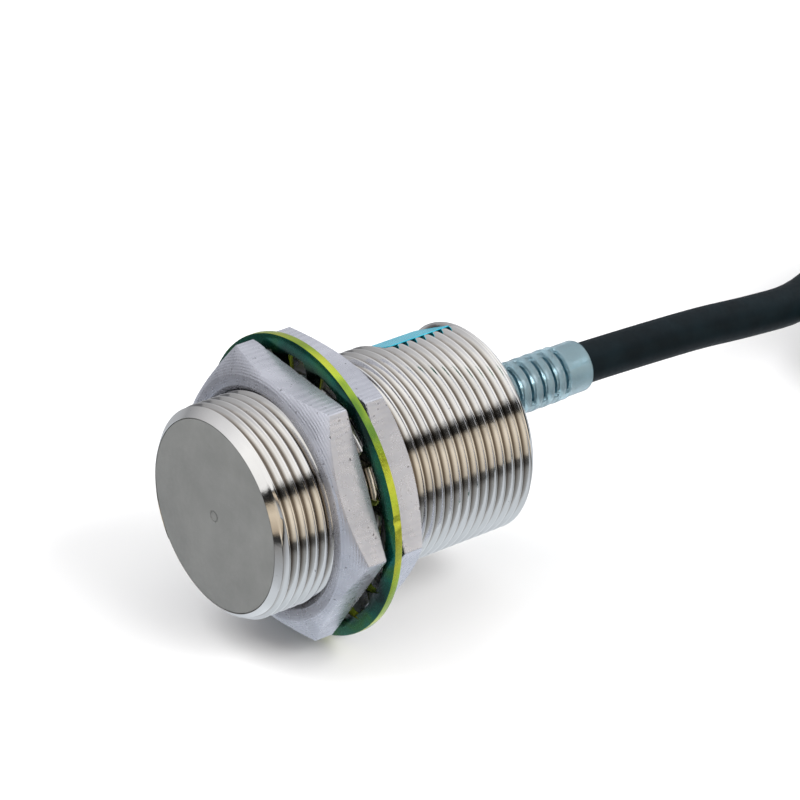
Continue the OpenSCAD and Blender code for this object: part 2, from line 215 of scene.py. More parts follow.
def plated(name, dark, light, pits, metallic):
    """The start of a plated look: soft tone changes and small pits, with its colour and pit noise."""
    look = Look(name, Metallic=metallic)
    tone = look.speckle(6.0, detail=3.0)
    base = look.ramp(tone, "Fac", [(0.3, dark), (0.7, light)])
    specks = look.speckle(0.7, detail=4.0, roughness=0.6)
    holes = look.ramp(specks, "Fac", [(pits - 0.05, (0.25, 0.24, 0.24)), (pits, (1, 1, 1))])
    return look, look.mix((base, "Color"), (holes, "Color"), 1.0, "MULTIPLY"), specks


# Distances in millimetres from the axis between which the painted shade in the thread's grooves fades
# outwards, and the stations at its two ends between which that painted shade comes and goes
GROOVE_SHADE_DEEPEST, GROOVE_SHADE_GONE = 14.05, 14.75
THREAD_IN, THREAD_OUT = (0.8, 1.4), (41.8, 42.4)


def barrel_nickel():
    """Bright nickel plating, with painted shade that darkens it down in the thread."""
    look, tones, specks = plated("nickel", (0.86, 0.85, 0.83), (0.94, 0.93, 0.915), 0.29, 1.0)
    depth = look.from_axis(GROOVE_SHADE_DEEPEST, GROOVE_SHADE_GONE)
    # painted shade: the thread's colour darkens towards the groove roots, where shade falls
    grooves = look.ramp(depth, "Result", [
        (0.0, (0.22, 0.19, 0.16)), (0.4, (0.66, 0.63, 0.60)), (0.7, (1, 1, 1)),
    ])
    threaded = look.mix(tones, (grooves, "Color"), 1.0, "MULTIPLY")
    parts = look.node("ShaderNodeSeparateXYZ")
    look.link(look.place, "Object", parts, "Vector")
    after = look.levels(parts, "Y", 0.0, 1.0, *(y * MM for y in THREAD_IN))
    before = look.levels(parts, "Y", 1.0, 0.0, *(y * MM for y in THREAD_OUT))
    inside = look.node("ShaderNodeMath", operation="MULTIPLY")
    look.link(after, "Result", inside, 0)
    look.link(before, "Result", inside, 1)
    look.colour(*look.mix(tones, threaded, by=(inside, "Value")))
    look.rough(look.speckle(1.4, detail=5.0), 0.05, 0.12)
    look.bump(specks, 0.006)
    return look.material


def nut_nickel():
    """Satin nickel plating with turning marks round the axis."""
    look, tones, specks = plated("nut_nickel", (0.52, 0.535, 0.60), (0.67, 0.685, 0.76), 0.34, 0.78)
    look.colour(*tones)
    look.rough(look.speckle(1.4, detail=5.0), 0.22, 0.34)
    marks = look.node("ShaderNodeTexWave", wave_type="RINGS", rings_direction="Y", Scale=900.0)
    marks.inputs["Distortion"].default_value = 2.5
    marks.inputs["Detail"].default_value = 3.0
    marks.inputs["Detail Scale"].default_value = 0.6
    look.link(look.mapped(), "Vector", marks, "Vector")
    look.bump(marks, 0.016)
    turned = look.node("ShaderNodeTangent", direction_type="RADIAL", axis="Y")
    look.link(turned, "Tangent", look.shader, "Tangent")
    look.shader.inputs["Anisotropic"].default_value = 0.7
    look.bump(specks, 0.006)
    return look.material


def chromate():
    """Yellow-green chromate over zinc: lime rim, green and teal faces kept very dark as a painted dark
    reflection, and painted shade going nearly black inwards, between the nuts.
    """
    look = Look("chromate", Metallic=0.85, Coat_Weight=0.25, Coat_Roughness=0.12)
    cloud = look.speckle(9.0, detail=2.0)
    # the faces' colours are the chromate's green and teal tint kept very dark: a painted dark reflection
    faces = look.ramp(cloud, "Fac", [
        (0.32, (0.002, 0.030, 0.026)), (0.46, (0.003, 0.130, 0.086)),
        (0.56, (0.03, 0.17, 0.05)), (0.68, (0.004, 0.17, 0.15)),
    ])
    rim = look.ramp(cloud, "Fac", [
        (0.30, (0.12, 0.24, 0.03)), (0.45, (0.46, 0.60, 0.05)),
        (0.58, (0.72, 0.72, 0.07)), (0.72, (0.16, 0.42, 0.14)),
    ])
    parts = look.node("ShaderNodeSeparateXYZ")
    surface = look.node("ShaderNodeNewGeometry")
    look.link(surface, "Normal", parts, "Vector")
    steep = look.node("ShaderNodeMath", operation="ABSOLUTE")
    look.link(parts, "Y", steep, 0)
    share = look.levels(steep, "Value", 0.0, 1.0, 0.35, 0.75)
    # painted shade: the faces go nearly black inwards from 20.3 mm to 18.6 mm from the axis, where the
    # washer lies between the nuts
    painted_shade_fade = look.from_axis(18.6, 20.3)
    faces = look.mix((0.004, 0.010, 0.006), (faces, "Color"), by=(painted_shade_fade, "Result"))
    look.colour(*look.mix((rim, "Color"), faces, by=(share, "Result")))
    look.rough(look.speckle(0.8), 0.16, 0.32)
    look.bump(look.speckle(0.6, detail=5.0), 0.02)
    return look.material


def face_plastic():
    """Grey moulded plastic with faint scratches."""
    look = Look("face_plastic", Specular_IOR_Level=0.4)
    cloud = look.speckle(6.0, detail=6.0, roughness=0.6)
    base = look.ramp(cloud, "Fac", [(0.3, (0.175, 0.180, 0.176)), (0.7, (0.218, 0.223, 0.218))])
    lines = look.speckle(2.4, (1.0, 1.0, 9.0), detail=8.0, roughness=0.8)
    scratches = look.ramp(lines, "Fac", [
        (0.60, (0.55, 0.55, 0.55)), (0.64, (1, 1, 1)), (0.68, (0.55, 0.55, 0.55)),
    ])
    look.colour(*look.mix((base, "Color"), (scratches, "Color"), 0.22, "OVERLAY"))
    look.rough(look.speckle(0.7), 0.40, 0.52)
    look.bump(look.speckle(0.25), 0.004)
    return look.material


def clear_plastic(name, colour, transmission):
    """Tinted see-through plastic with a slightly uneven surface."""
    look = Look(name, IOR=1.49, Transmission_Weight=transmission)
    cloud = look.speckle(3.0)
    paler = tuple(min(1, c * 1.08 + 0.02) for c in colour)
    look.colour(look.ramp(cloud, "Fac", [(0.3, colour), (0.7, paler)]), "Color")
    look.rough(look.speckle(0.9), 0.10, 0.22)
    look.bump(look.speckle(0.8), 0.01)
    return look.material


def wound(name, dark, light):
    """Fine enamelled turns side by side along the axis."""
    look = Look(name, Metallic=1.0)
    turns = look.node("ShaderNodeTexWave", wave_type="BANDS", bands_direction="Y", Scale=800.0)
    look.link(look.mapped(), "Vector", turns, "Vector")
    look.colour(look.ramp(turns, "Fac", [(0.0, dark), (1.0, light)]), "Color")
    look.rough(look.speckle(0.8), 0.25, 0.4)
    look.bump(turns, 0.05)
    return look.material


LOOKS = {
    "nickel": barrel_nickel(),
    "nut_nickel": nut_nickel(),
    "chromate": chromate(),
    "face_plastic": face_plastic(),
    "label_blue": simple("label_blue", (0.02, 0.36, 0.50), (0.04, 0.44, 0.58), 3.0, (0.22, 0.32), 0.002),
    "clear_plastic": clear_plastic("clear_plastic", (0.80, 0.88, 0.92), 0.85),
    "relief_plastic": clear_plastic("relief_plastic", (0.44, 0.63, 0.71), 0.78),
    # painted shade: a dark sheet for the flat middle of the strain relief's grooves
    "relief_shade": simple("relief_shade", (0.008, 0.03, 0.045), (0.02, 0.06, 0.085), 1.0, (0.12, 0.2),
                           0.004),
    "seal_rubber": simple("seal_rubber", (0.010, 0.010, 0.011), (0.02, 0.02, 0.021), 1.0, (0.5, 0.65)),
    "ferrite": simple("ferrite", (0.035, 0.036, 0.038), (0.07, 0.07, 0.074), 0.7, (0.55, 0.7)),
    "bobbin_plastic": simple("bobbin_plastic", (0.62, 0.57, 0.45), (0.70, 0.66, 0.54), 2.0),
    "enamelled_copper": wound("enamelled_copper", (0.36, 0.12, 0.03), (0.78, 0.34, 0.14)),
    "black_plastic": simple("black_plastic", (0.012, 0.012, 0.013), (0.022, 0.022, 0.024), 1.5),
    "board_green": simple("board_green", (0.008, 0.11, 0.035), (0.02, 0.20, 0.07), 1.8, (0.25, 0.4)),
    "chip_ceramic": simple("chip_ceramic", (0.36, 0.26, 0.14), (0.50, 0.40, 0.26), 0.6),
    "led_amber": simple("led_amber", (0.75, 0.26, 0.01), (0.9, 0.42, 0.03), 0.5, (0.1, 0.2), 0.002,
                        Transmission_Weight=0.3),
    "screen_copper": simple("screen_copper", (0.62, 0.34, 0.16), (0.80, 0.50, 0.28), 2.0, (0.25, 0.4),
                            Metallic=1.0),
    "resin": simple("resin", (0.26, 0.19, 0.06), (0.36, 0.28, 0.11), 3.0, (0.2, 0.35),
                    Transmission_Weight=0.15),
    "clamp_brass": simple("clamp_brass", (0.60, 0.42, 0.14), (0.76, 0.58, 0.24), 1.5, (0.25, 0.4),
                          Metallic=1.0),
    "cable_black": simple("cable_black", (0.001, 0.004, 0.006), (0.002, 0.007, 0.010), 4.0, (0.46, 0.56),
                          0.006, Specular_IOR_Level=0.16),
    "wire_brown": simple("wire_brown", (0.10, 0.032, 0.010), (0.15, 0.05, 0.017), 1.5),
    "wire_blue": simple("wire_blue", (0.012, 0.075, 0.34), (0.02, 0.11, 0.46), 1.5),
    "wire_black": simple("wire_black", (0.008, 0.008, 0.008), (0.015, 0.015, 0.015), 1.5),
    "tinned": simple("tinned", (0.58, 0.58, 0.58), (0.74, 0.74, 0.73), 1.0, (0.25, 0.4), Metallic=1.0),
}


# ---------------------------------------------------------------- mesh tools

def piece(name, points, faces, looks, body="sensor", replaces=(), sharp=32, shades=None):
    """One object from points in millimetres, with smooth shading broken at sharp edges."""
    mesh = bpy.data.meshes.new(name)
    mesh.from_pydata([(x * MM, y * MM, z * MM) for x, y, z in points], [], faces)
    for look in looks:
        mesh.materials.append(LOOKS[look])
    if shades:
        mesh.polygons.foreach_set("material_index", shades)
    work = bmesh.new()
    work.from_mesh(mesh)
    bmesh.ops.remove_doubles(work, verts=work.verts, dist=2e-6)
    bmesh.ops.recalc_face_normals(work, faces=work.faces)
    for face in work.faces:
        face.smooth = True
    work.to_mesh(mesh)
    work.free()
    mesh.set_sharp_from_angle(angle=math.radians(sharp))
    made = bpy.data.objects.new(name, mesh)
    bpy.context.scene.collection.objects.link(made)
    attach(made, body)
    if replaces:
        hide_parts(*replaces)
    return made


def rings(columns):
    """Points and faces of a closed skin: columns[j] is the closed section at the j-th angle."""
    rows = len(columns[0])
    points = [p for column in columns for p in column]
    faces = []
    for j in range(len(columns)):
        n = (j + 1) % len(columns)
        for i in range(rows):
            k = (i + 1) % rows
            faces.append((j * rows + i, n * rows + i, n * rows + k, j * rows + k))
    return points, faces


def loft(loops):
    """Points and faces of a skin through loops of equal length, closed by its two end loops."""
    size = len(loops[0])
    last = (len(loops) - 1) * size
    faces = [tuple(range(size)), tuple(range(last, last + size))]
    for a in range(0, last, size):
        for s in range(size):
            n = (s + 1) % size
            faces.append((a + s, a + n, a + size + n, a + size + s))
    return [tuple(p) for loop in loops for p in loop], faces


def joined(*skins):
    """One list of points and one of faces from several skins."""
    points, faces = [], []
    for more_points, more_faces in skins:
        start = len(points)
        points += more_points
        faces += [tuple(start + corner for corner in face) for face in more_faces]
    return points, faces


def about(angle, r, y, z0=0.0):
    """The point at an angle, radius and station about an axis along +Y at height z0."""
    return (r * math.cos(angle), y, z0 + r * math.sin(angle))


def lathe(section, steps):
    """Closed solid of revolution about +Y, from its (radius, station) section."""
    return rings([[about(TURN * j / steps, r, y) for r, y in section] for j in range(steps)])


def smooth(t):
    """From 0 to 1 with a level start and end."""
    t = min(1.0, max(0.0, t))
    return t * t * (3 - 2 * t)


# ---------------------------------------------------------------- barrel

PITCH = 1.5
THREAD_R = 14.975
LENGTH = 43.0
NOSE_CHAMFER = 1.3
RIM_CHAMFER = 0.8
STEPS = 216
# One pitch of the thread, as (station, depth) pairs
PROFILE = [
    (0.00, 0.03), (0.05, 0.0), (0.14, 0.0), (0.19, 0.03), (0.45, 0.46), (0.69, 0.85),
    (0.76, 0.92), (0.93, 0.92), (1.00, 0.85), (1.25, 0.46), (1.46, 0.09),
]
PITCHES = 31
BORE = [
    (THREAD_R - NOSE_CHAMFER, 0), (13.62, 0.05), (13.62, 1.7), (13.1, 1.7), (13.1, 20), (13.1, 42.8),
    (13.3, LENGTH), (THREAD_R - RIM_CHAMFER, LENGTH),
]
LABEL_ANGLE = math.radians(120)
LABEL_OUT = Vector((math.cos(LABEL_ANGLE), 0, math.sin(LABEL_ANGLE)))
FLAT_R = 14.0
FLAT_MARGIN = 0.4


def barrel_radius(y, depth):
    """Radius at a station, with the thread running out at both ends and a chamfer on each."""
    depth *= smooth((y - 0.4) / 0.8) * smooth((LENGTH - 0.35 - y) / 0.9)
    return min(THREAD_R - depth, THREAD_R - NOSE_CHAMFER + y, THREAD_R - RIM_CHAMFER + LENGTH - y)


def make_barrel():
    """Tube whose outside is one right-handed helix of the thread's profile."""
    lo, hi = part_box("name_label")
    flat_start, flat_end = lo.y / MM - FLAT_MARGIN, hi.y / MM + FLAT_MARGIN

    def milled(angle, y, r):
        """Radius left where the label flat is cut into the thread."""
        facing = math.cos(angle - LABEL_ANGLE)
        return min(r, FLAT_R / facing) if facing > 0.9 and flat_start <= y <= flat_end else r

    per_turn = len(PROFILE)
    total = PITCHES * per_turn
    points, faces = [], []
    for j in range(STEPS):
        angle = -TURN * j / STEPS
        for k in range(total):
            offset, depth = PROFILE[k % per_turn]
            y = (k // per_turn - 1) * PITCH + offset + PITCH * j / STEPS
            y = min(LENGTH, max(0.0, y))
            points.append(about(angle, milled(angle, y, barrel_radius(y, depth)), y))
        last = j + 1 == STEPS
        start = per_turn if last else (j + 1) * total
        for k in range(total - 1 - (per_turn if last else 0)):
            faces.append((j * total + k, j * total + k + 1, start + k + 1, start + k))
    start, rows = len(points), len(BORE)
    for j in range(STEPS):
        points += [about(-TURN * j / STEPS, r, y) for r, y in BORE]
        a, b = start + j * rows, start + (j + 1) % STEPS * rows
        faces += [(a + i, b + i, b + i + 1, a + i + 1) for i in range(rows - 1)]
    piece("barrel_threaded", points, faces, ["nickel"], replaces=["barrel"])


# ---------------------------------------------------------------- nuts

FRONT_NUT_Y, REAR_NUT_Y = 8.1, 21.1
NUT_FLATS = 36.0
NUT_THICK = 5.0
NUT_CORNER = 0.35
NUT_TURN = -3
BEVEL_R = 17.2
NUT_BORE = 15.03
BORE_EDGE = 15.78
FLAT_ROWS = 6
FLAT_COLUMNS = 22


def hexagon():
    """Outline of the nut, with rounded corners, as (angle, radius) pairs."""
    outline = []
    reach = (NUT_FLATS / 2 - NUT_CORNER) / math.cos(math.radians(30))
    for k in range(6):
        at = math.radians(NUT_TURN + 60 * k)
        centre = reach * Vector((math.cos(at), math.sin(at)))
        arc = [centre + NUT_CORNER * Vector((math.cos(a), math.sin(a)))
               for a in (at + math.radians(t) for t in range(-30, 31, 10))]
        onward = math.radians(60)
        ahead = Vector((arc[0].x * math.cos(onward) - arc[0].y * math.sin(onward),
                        arc[0].x * math.sin(onward) + arc[0].y * math.cos(onward)))
        outline += arc + [arc[-1].lerp(ahead, t / FLAT_COLUMNS) for t in range(1, FLAT_COLUMNS)]
    return [(math.atan2(p.y, p.x), p.length) for p in outline]


def make_nut(name, node, front, towards):
    """Nut with its bevelled face at front, its body towards +1 or -1 along Y and an uneven back edge."""
    columns = []
    for angle, edge in hexagon():
        spot = Vector((math.cos(angle) * 9, math.sin(angle) * 9, front))
        bevel = (edge - BEVEL_R) * math.tan(math.radians(30))
        burr = 0.10 + 0.16 * max(0.0, noise.noise(spot * 3.1)) + 0.05 * noise.noise(spot * 9.7)
        section = [
            (NUT_BORE, 0.7), (15.70, 0.03), (BORE_EDGE, 0.0), (16.4, 0.0), (17.12, 0.0), (17.24, 0.03),
            (edge * 0.5 + 8.6, bevel / 2), (edge - 0.12, bevel - 0.05), (edge, bevel + 0.08),
        ]
        section += [
            (edge, bevel + 0.08 + (NUT_THICK - 0.2 - bevel) * i / FLAT_ROWS) for i in range(1, FLAT_ROWS)
        ]
        section += [
            (edge, NUT_THICK - burr), (edge - burr * 0.8, NUT_THICK), (17.0, NUT_THICK),
            (BORE_EDGE, NUT_THICK), (15.70, 4.97), (NUT_BORE, 4.3), (NUT_BORE, 2.5),
        ]
        columns.append([about(angle, r, front + towards * y) for r, y in section])
    points, faces = rings(columns)
    piece(name, points, faces, ["nut_nickel"], body=node, replaces=[node], sharp=24)


# ---------------------------------------------------------------- washer

WASHER_Y = 14.6
WASHER_R = 21.3
WASHER_RING_R = 19.0
WASHER_HALF = 0.6
WASHER_STEPS = 288
EDGE = 0.12
TEETH = 16
FIRST_TOOTH = 15
TOOTH_FOOT_R = 20.3
TOOTH_TIP_R = 15.3
TOOTH_HALF = 0.55
TOOTH_TWIST = 35
TOOTH_LOOPS = 10


def washer_ring():
    """Flat ring with broken edges and a small nick in its rim."""
    inner, outer, half = WASHER_RING_R, WASHER_R, WASHER_HALF
    columns = []
    for j in range(WASHER_STEPS):
        a = TURN * j / WASHER_STEPS
        nick = 0.35 * math.exp(-(((math.degrees(a) - 12) / 0.7) ** 2))
        dented = outer - 0.04 - nick * 0.6
        section = [
            (inner, -half + EDGE), (inner + EDGE, -half), (outer - 0.14, -half), (dented, -half + 0.05),
            (outer - nick, -half + 0.2), (outer - nick, half - 0.2), (dented, half - 0.05),
            (outer - 0.14, half), (inner + EDGE, half), (inner, half - EDGE),
        ]
        columns.append([about(a, r, WASHER_Y + y) for r, y in section])
    return rings(columns)


def washer_tooth(middle):
    """Tooth that narrows from its foot in the ring and twists out of the ring's plane."""
    out = Vector((math.cos(middle), 0, math.sin(middle)))
    side = Vector((-out.z, 0, out.x))
    along = Vector((0, 1, 0))
    loops = []
    for i in range(TOOTH_LOOPS):
        t = i / (TOOTH_LOOPS - 1)
        r = TOOTH_FOOT_R + (TOOTH_TIP_R - TOOTH_FOOT_R) * t
        twist = math.radians(TOOTH_TWIST) * smooth((t - 0.05) / 0.6)
        wide = 1.2 + 1.9 * (1 - smooth(t / 0.5)) ** 1.3 - 0.2 * t
        thick = TOOTH_HALF
        if i == TOOTH_LOOPS - 1:
            wide, thick = wide - 0.15, thick - 0.1
        u = side * math.cos(twist) - along * math.sin(twist)
        v = side * math.sin(twist) + along * math.cos(twist)
        p, q = wide - EDGE, thick - EDGE
        outline = [(-wide, -q), (-p, -thick), (p, -thick), (wide, -q),
                   (wide, q), (p, thick), (-p, thick), (-wide, q)]
        loops.append([out * r + along * WASHER_Y + u * across + v * up for across, up in outline])
    return loft(loops)


def make_washer():
    """Internal-tooth lock washer: the ring with its twisted teeth."""
    teeth = [washer_tooth(math.radians(FIRST_TOOTH + 360 / TEETH * k)) for k in range(TEETH)]
    points, faces = joined(washer_ring(), *teeth)
    piece("washer_toothed", points, faces, ["chromate"], body="lock_washer", replaces=["lock_washer"],
          sharp=40)


# ---------------------------------------------------------------- sensing cap, label, strain relief

def make_cap():
    """Moulded cup with a small ring mark in the middle of its face."""
    section = [
        (0, 0.05), (0.42, 0.06), (0.5, 0), (0.6, 0), (0.66, 0.14), (0.8, 0.14), (0.88, 0.0), (6, 0),
        (13.38, 0), (13.5, 0.05), (13.56, 0.17), (13.56, 1.2), (13.05, 1.2), (13.05, 10.6),
        (12.6, 10.6), (12.6, 1.2), (0, 1.2),
    ]
    points, faces = lathe(section, 192)
    piece("cap_moulded", points, faces, ["face_plastic"], replaces=["sensing_cap"])


LABEL_HALF = 4.6
LABEL_CORNER = 0.8
LABEL_TOP = 14.12


def make_label():
    """Thin film with rounded corners on the flat."""
    lo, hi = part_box("name_label")
    across = Vector((-LABEL_OUT.z, 0, LABEL_OUT.x))
    middle, half = (lo.y + hi.y) / 2 / MM, (hi.y - lo.y) / 2 / MM
    outline = []
    for k, (p, q) in enumerate(((1, 1), (-1, 1), (-1, -1), (1, -1))):
        for t in range(7):
            turn = math.radians(90 * k + 15 * t)
            outline.append((p * (LABEL_HALF - LABEL_CORNER) + LABEL_CORNER * math.cos(turn),
                            q * (half - LABEL_CORNER) + LABEL_CORNER * math.sin(turn)))
    loops = []
    for shrink, lift in ((0, FLAT_R), (0, LABEL_TOP - 0.03), (0.03, LABEL_TOP)):
        s = 1 - shrink / LABEL_HALF
        loops.append([
            LABEL_OUT * lift + across * p * s + Vector((0, middle + q * s, 0)) for p, q in outline
        ])
    points, faces = loft(loops)
    piece("label_film", points, faces, ["label_blue"], replaces=["name_label"])


CABLE_Z = 3
SLEEVE_BORE = 3.02
SLOT_FIRST, SLOT_STEP, SLOTS = 47.33, 2.06, 6
SLOT_SIDE, SLOT_REACH = math.radians(38), math.radians(58.4)
SLOT_R, SLOT_FLAT_R = 3.32, 3.1
SHADED_FACING = 0.6
SLEEVE_RADII = {
    "flange": 4.6, "neck": 3.5, "rib": 3.86, "crown": 3.9, "lip": 3.82, "slot": 3.82,
    "collar": 3.7, "end": 3.6, "mouth": 3.45,
}
SLEEVE_STEPS = 120


def sleeve_stations():
    """Stations along the sleeve, each with what the sleeve is there."""
    stations = [
        (39.6, "flange"), (40.8, "flange"), (40.8, "neck"), (42.5, "neck"), (44.0, "neck"),
        (45.2, "neck"), (45.7, "rib"),
    ]
    for i in range(SLOTS):
        middle = SLOT_FIRST + SLOT_STEP * i
        for y, kind in ((-0.5, "rib"), (-0.44, "lip"), (-0.42, "slot"),
                        (0.42, "slot"), (0.44, "lip"), (0.5, "rib")):
            stations.append((middle + y, kind))
        if i < SLOTS - 1:
            stations.append((middle + SLOT_STEP / 2, "crown"))
    return stations + [(58.5, "collar"), (61.9, "collar"), (62.2, "end"), (62.3, "mouth")]


def make_relief():
    """Ribbed sleeve: grooves from two sides, flat in their middle and painted dark there as shade, leave
    ribs between them.
    """
    stations = sleeve_stations()
    columns, shades = [], []
    for j in range(SLEEVE_STEPS):
        a = TURN * j / SLEEVE_STEPS
        facing = abs(math.cos(a - SLOT_SIDE))
        grooved = facing > math.cos(SLOT_REACH)
        shaded = abs(math.cos(a + TURN / SLEEVE_STEPS / 2 - SLOT_SIDE)) > SHADED_FACING
        column = []
        for y, kind in stations:
            r = min(SLOT_R, SLOT_FLAT_R / facing) if grooved and kind == "slot" else SLEEVE_RADII[kind]
            column.append(about(a, r, y, CABLE_Z))
        column += [about(a, SLEEVE_BORE, y, CABLE_Z) for y in (62.3, 52.0, 39.6)]
        columns.append(column)
        kinds = [kind for _, kind in stations] + [None] * 4
        shades += [int(shaded and kinds[i] == kinds[i + 1] == "slot") for i in range(len(column))]
    points, faces = rings(columns)
    piece("relief_ribbed", points, faces, ["relief_plastic", "relief_shade"],
          replaces=["strain_relief"], shades=shades)


# ---------------------------------------------------------------- cable

CABLE_R = 3.0
HANK_X, HANK_Y, RUN = 6.5, 146.0, 66.0
OUTER, INNER, LAYER, LAYERS = 24.0, 18.0, 6.0, 4
TOP_Z, LOW_Z = -0.3, -18.3
TIE_Y, END_Y = 170.0, 184.0
ROUTE = [
    (0, 62.4, 3), (0, 66, 2.9), (0, 76, 2.4), (0, 85, 1.8), (0, 95, 0.7), (-1, 104, -0.4),
    (-4.4, 113, -0.8), (-8.5, 121, -0.6), (-12.2, 128, -0.35), (-14.9, 134, -0.3), (-16.8, 140, -0.3),
    (HANK_X - OUTER, HANK_Y, TOP_Z),
]


def catmull(a, b, c, d, t):
    square = (2 * a - 5 * b + 4 * c - d) * t * t
    return 0.5 * (2 * b + (c - a) * t + square + (3 * b - a - 3 * c + d) * t ** 3)


def curve_through(route, per_span):
    """Points on the smooth curve through the route's points."""
    route = [Vector(p) for p in route]
    made = []
    for i in range(len(route) - 1):
        a, b, c, d = (route[max(0, min(len(route) - 1, i + k))] for k in (-1, 0, 1, 2))
        made += [catmull(a, b, c, d, t / per_span) for t in range(per_span)]
    return made + [route[-1]]


def over_tie(p):
    """A point of the hank, raised a little where the ties pass under the lower turns."""
    share = smooth((10 - abs(p[1] - TIE_Y)) / 7) * (TOP_Z - p[2]) / (TOP_Z - LOW_Z)
    return Vector((p[0], p[1], p[2] + 0.6 * share))


def hank_points():
    """Oblong turns: an outer stack wound downwards, then an inner stack wound back up."""
    made = []

    def run(side, r, z, ahead, to=None):
        a, b = (HANK_Y, to or HANK_Y + RUN) if ahead else (HANK_Y + RUN, HANK_Y)
        made.extend(over_tie((HANK_X + side * r, a + (b - a) * i / 16, z)) for i in range(16))

    def fold(far, r, z, drop=0.0, shrink=0.0):
        centre = HANK_Y + RUN if far else HANK_Y
        for i in range(20):
            t = i / 20
            a = math.pi * ((1 - t) if far else -t)
            w = r - shrink * smooth((t - 0.5) / 0.5)
            made.append(Vector((
                HANK_X + w * math.cos(a), centre + w * math.sin(a), z - drop * smooth(t / 0.5)
            )))

    for k in range(LAYERS):
        z = TOP_Z - LAYER * k
        run(-1, OUTER, z, True)
        if k < LAYERS - 1:
            fold(True, OUTER, z)
            run(1, OUTER, z, False)
            fold(False, OUTER, z, drop=LAYER)
    fold(True, OUTER, LOW_Z, shrink=OUTER - INNER)
    for k in range(LAYERS):
        z = LOW_Z + LAYER * k
        run(1, INNER, z, False)
        fold(False, INNER, z)
        if k < LAYERS - 1:
            run(-1, INNER, z, True)
            fold(True, INNER, z, drop=-LAYER)
    run(-1, INNER, TOP_Z, True, END_Y)
    return made + [Vector((HANK_X - INNER, END_Y, TOP_Z))]


def strand(name, points, radius, look, sides, replaces):
    """Round cable or wire as a curve with a solid section."""
    curve = bpy.data.curves.new(name, "CURVE")
    curve.dimensions = "3D"
    spline = curve.splines.new("POLY")
    spline.points.add(len(points) - 1)
    for place, p in zip(spline.points, points):
        place.co = (p[0] * MM, p[1] * MM, p[2] * MM, 1)
    curve.bevel_depth = radius * MM
    curve.bevel_resolution = sides // 4 - 2
    curve.use_fill_caps = True
    spline.use_smooth = True
    curve.materials.append(LOOKS[look])
    made = bpy.data.objects.new(name, curve)
    bpy.context.scene.collection.objects.link(made)
    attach(made, "sensor")
    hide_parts(*replaces)
    return made


TIE_INNER, TIE_OUTER, TIE_LOW, TIE_HIGH = 14.75, 27.2, -20.72, 2.72
TIE_CORNER, TIE_WALL = 1.6, 0.55


def make_tie(name, side_of_hank):
    """Flat band round one side of the hank, with its locking head and cut end on top."""
    centre = Vector((HANK_X, TIE_Y, 0))

    def at(r, across, z):
        return centre + Vector((side_of_hank * r, across, z))

    band = []
    corners = ((TIE_OUTER, TIE_HIGH), (TIE_INNER, TIE_HIGH), (TIE_INNER, TIE_LOW), (TIE_OUTER, TIE_LOW))
    for k, (r, z) in enumerate(corners):
        r -= TIE_CORNER if r == TIE_OUTER else -TIE_CORNER
        z -= TIE_CORNER if z == TIE_HIGH else -TIE_CORNER
        for t in range(6):
            turn = math.radians(90 * k + 18 * t)
            band.append([
                tuple(at(r + lift * math.cos(turn), across, z + lift * math.sin(turn)))
                for lift, across in ((TIE_CORNER, -2.4), (TIE_CORNER, 2.4),
                                     (TIE_CORNER + TIE_WALL, 2.3), (TIE_CORNER + TIE_WALL, -2.3))
            ])
    head = []
    for across, shrink in ((-3.2, 0.25), (-2.9, 0.0), (2.9, 0.0), (3.2, 0.25)):
        low, high = 18.0 + shrink, 24.0 - shrink
        top = 7.0 - shrink
        outline = ((low, 3.0), (low, top - 0.6), (low + 0.6, top), (high - 0.6, top),
                   (high, top - 0.6), (high, 3.0))
        head.append([at(r, across, z) for r, z in outline])
    outline = ((-2.2, 16.5), (2.2, 16.5), (2.2, 26.4), (1.6, 27.2), (-1.6, 27.2), (-2.2, 26.4))
    end = [[at(r, across, z + 0.2 * max(0.0, r - 24.0)) for across, r in outline] for z in (4.4, 5.0)]
    points, faces = joined(rings(band), loft(head), loft(end))
    return piece(name, points, faces, ["black_plastic"])


FERRULE_STEPS = 32


def make_ferrule(name, tip, heading, look):
    """Insulated collar and crimped tin tube on the end of one lead."""
    a = math.radians(heading)
    ahead = Vector((-math.sin(a), math.cos(a), 0))
    side = Vector((math.cos(a), math.sin(a), 0))
    up = Vector((0, 0, 1))
    collar = [(0.93, -1.2), (0.94, -0.2), (0.93, 0.9), (0.7, 1.7), (0.62, 2.0)]
    tube = [
        (0.6, 2.05), (0.6, 3.4), (0.52, 3.5), (0.52, 3.9), (0.6, 4.0), (0.52, 4.4), (0.52, 4.8),
        (0.6, 4.9), (0.52, 5.3), (0.52, 5.7), (0.6, 5.8), (0.6, 7.8), (0.52, 8.0), (0.4, 8.0),
        (0.4, 2.2), (0.4, -1.2),
    ]
    columns, shades = [], []
    for j in range(FERRULE_STEPS):
        t = TURN * j / FERRULE_STEPS
        columns.append([
            tuple(Vector(tip) + ahead * y + (side * math.cos(t) + up * math.sin(t)) * r)
            for r, y in collar + tube
        ])
        shades += [0] * len(collar) + [1] * (len(tube) - 1) + [0]
    points, faces = rings(columns)
    return piece(name, points, faces, [look, "tinned"], shades=shades, sharp=45)


LEAD_R = 0.9
LEAD_Z = TOP_Z - 2


